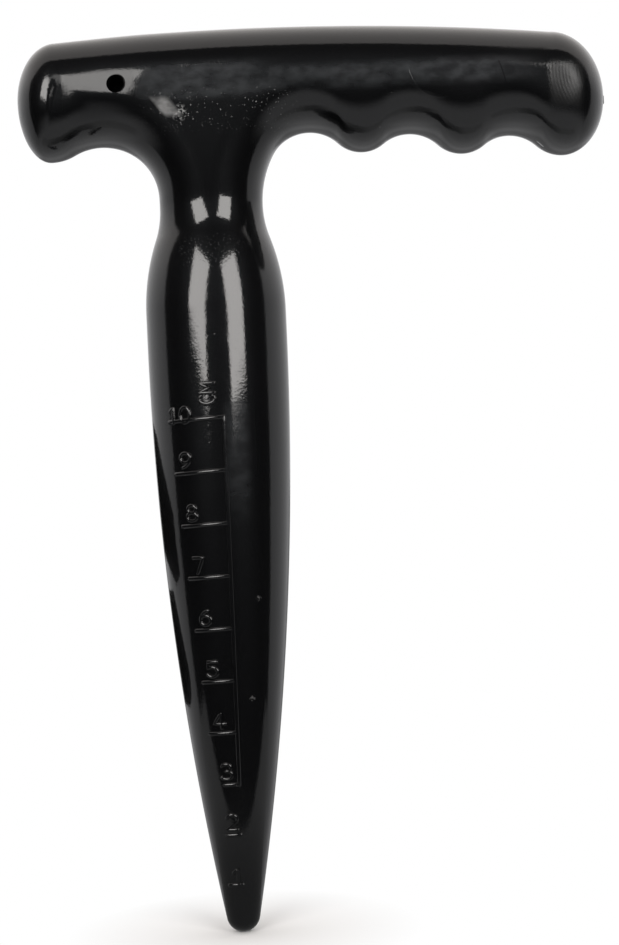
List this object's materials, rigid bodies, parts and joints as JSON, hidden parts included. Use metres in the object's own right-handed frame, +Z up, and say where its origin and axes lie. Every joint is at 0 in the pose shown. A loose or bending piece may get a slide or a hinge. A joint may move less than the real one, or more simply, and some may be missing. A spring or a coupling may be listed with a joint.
{
  "type": "dibber",
  "caption": "Hand dibber: round tapered spike with a raised centimetre depth scale under a one-sided grip with three finger hollows and a hanging hole.",
  "frame": {"origin": "at the point of the spike, on the spike's axis and in the plane where the two halves meet", "axes": "+Z up the spike from its point to the grip, +X towards the finger side along the longer arm of the grip, +Y towards the back, away from the face with the depth scale"},
  "size_m": [0.1148, 0.0276, 0.1766],
  "materials": {
    "black_plastic": "gloss"
  },
  "bodies": {
    "root": {"front_shell": "black_plastic", "back_shell": "black_plastic"}
  },
  "joints": []
}
